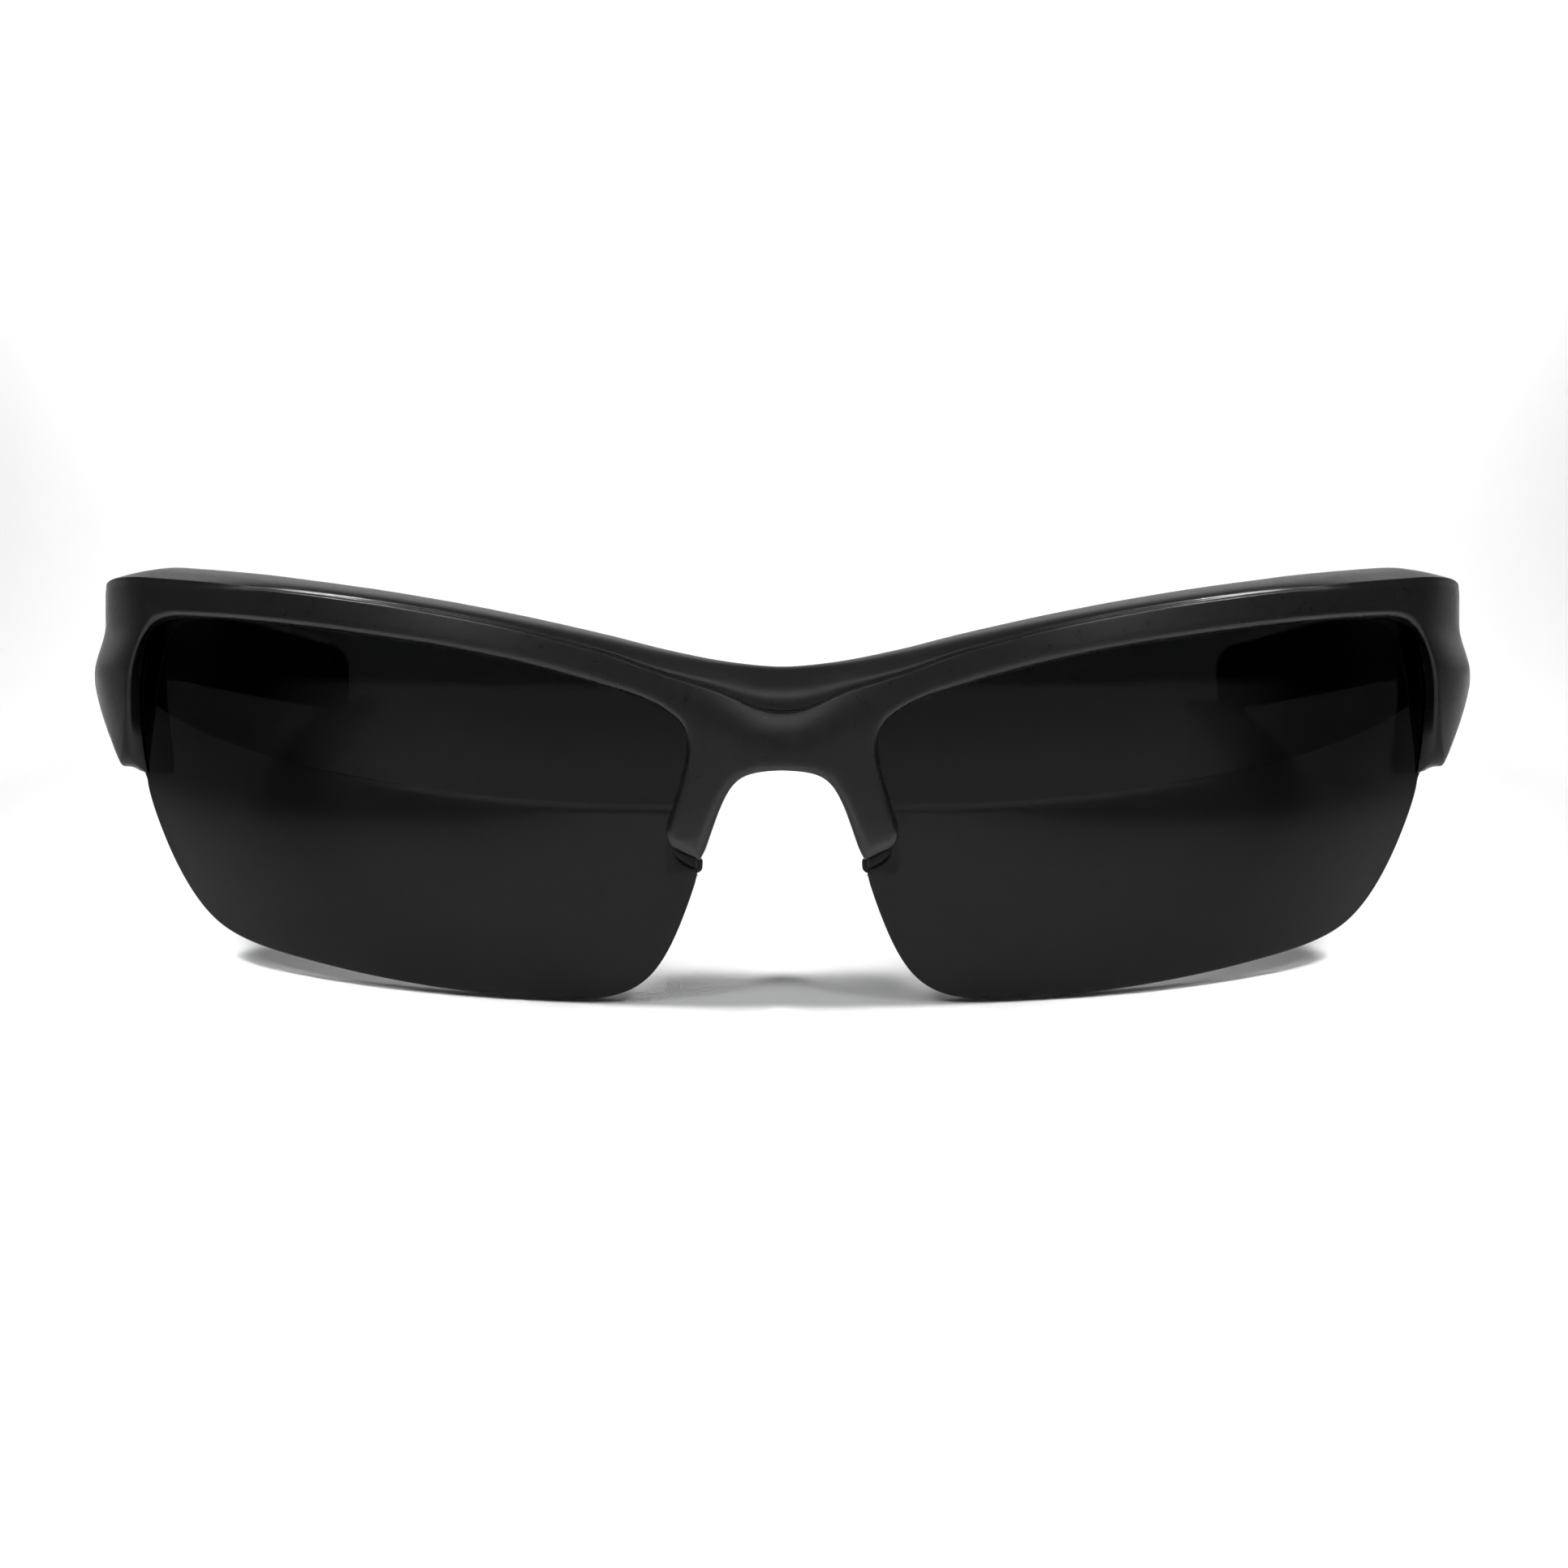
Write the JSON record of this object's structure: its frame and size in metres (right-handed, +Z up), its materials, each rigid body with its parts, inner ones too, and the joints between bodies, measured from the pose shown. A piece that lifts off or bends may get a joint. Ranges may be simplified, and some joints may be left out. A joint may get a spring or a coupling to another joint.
{
  "type": "wraparound sport sunglasses",
  "caption": "Wraparound half-rim sport sunglasses: moulded front, spherical smoke lenses in a groove, rubber nose pads, and screw-hinged folding temples with rubber sleeves.",
  "frame": {"origin": "middle of the footprint, on the surface that the lens edges and temple tips stand on", "axes": "+X towards the wearer's left, +Y towards the back of the head along the open temples, +Z up; the lenses face -Y"},
  "size_m": [0.1412, 0.1458, 0.0389],
  "materials": {
    "frame_nylon": "satin black moulded nylon, fine moulded texture",
    "temple_nylon": "satin black moulded nylon, fine moulded texture",
    "smoke_lens": "polished dark smoke polycarbonate with a hard coat",
    "pad_rubber": "soft matte black rubber",
    "sleeve_rubber": "soft matte black rubber with moulded grip ribs",
    "hinge_steel": "darkened stamped steel",
    "screw_steel": "bright machine screws"
  },
  "bodies": {
    "front": {"frame_front": "frame_nylon", "lens_left": "smoke_lens", "nose_pad_left": "pad_rubber", "hinge_front_leaf_left": "hinge_steel", "hinge_pivot_screw_left": "screw_steel", "front_leaf_screw_lower_left": "screw_steel", "front_leaf_screw_upper_left": "screw_steel", "lens_right": "smoke_lens", "nose_pad_right": "pad_rubber", "hinge_front_leaf_right": "hinge_steel", "hinge_pivot_screw_right": "screw_steel", "front_leaf_screw_lower_right": "screw_steel", "front_leaf_screw_upper_right": "screw_steel"},
    "temple_arm_left": {"temple_left": "temple_nylon", "temple_tip_left": "sleeve_rubber", "hinge_temple_leaf_left": "hinge_steel", "temple_leaf_screw_lower_left": "screw_steel", "temple_leaf_screw_upper_left": "screw_steel"},
    "temple_arm_right": {"temple_right": "temple_nylon", "temple_tip_right": "sleeve_rubber", "hinge_temple_leaf_right": "hinge_steel", "temple_leaf_screw_lower_right": "screw_steel", "temple_leaf_screw_upper_right": "screw_steel"}
  },
  "joints": [
    {"name": "temple_left_fold", "type": "hinge", "parent": "front", "child": "temple_arm_left", "pos_m": [0.0628, -0.03149, 0.02966], "axis": [0, 0.2224, 0.975], "range_deg": [0, 90]},
    {"name": "temple_right_fold", "type": "hinge", "parent": "front", "child": "temple_arm_right", "pos_m": [-0.0628, -0.03149, 0.02966], "axis": [0, -0.2224, -0.975], "range_deg": [0, 78]}
  ]
}
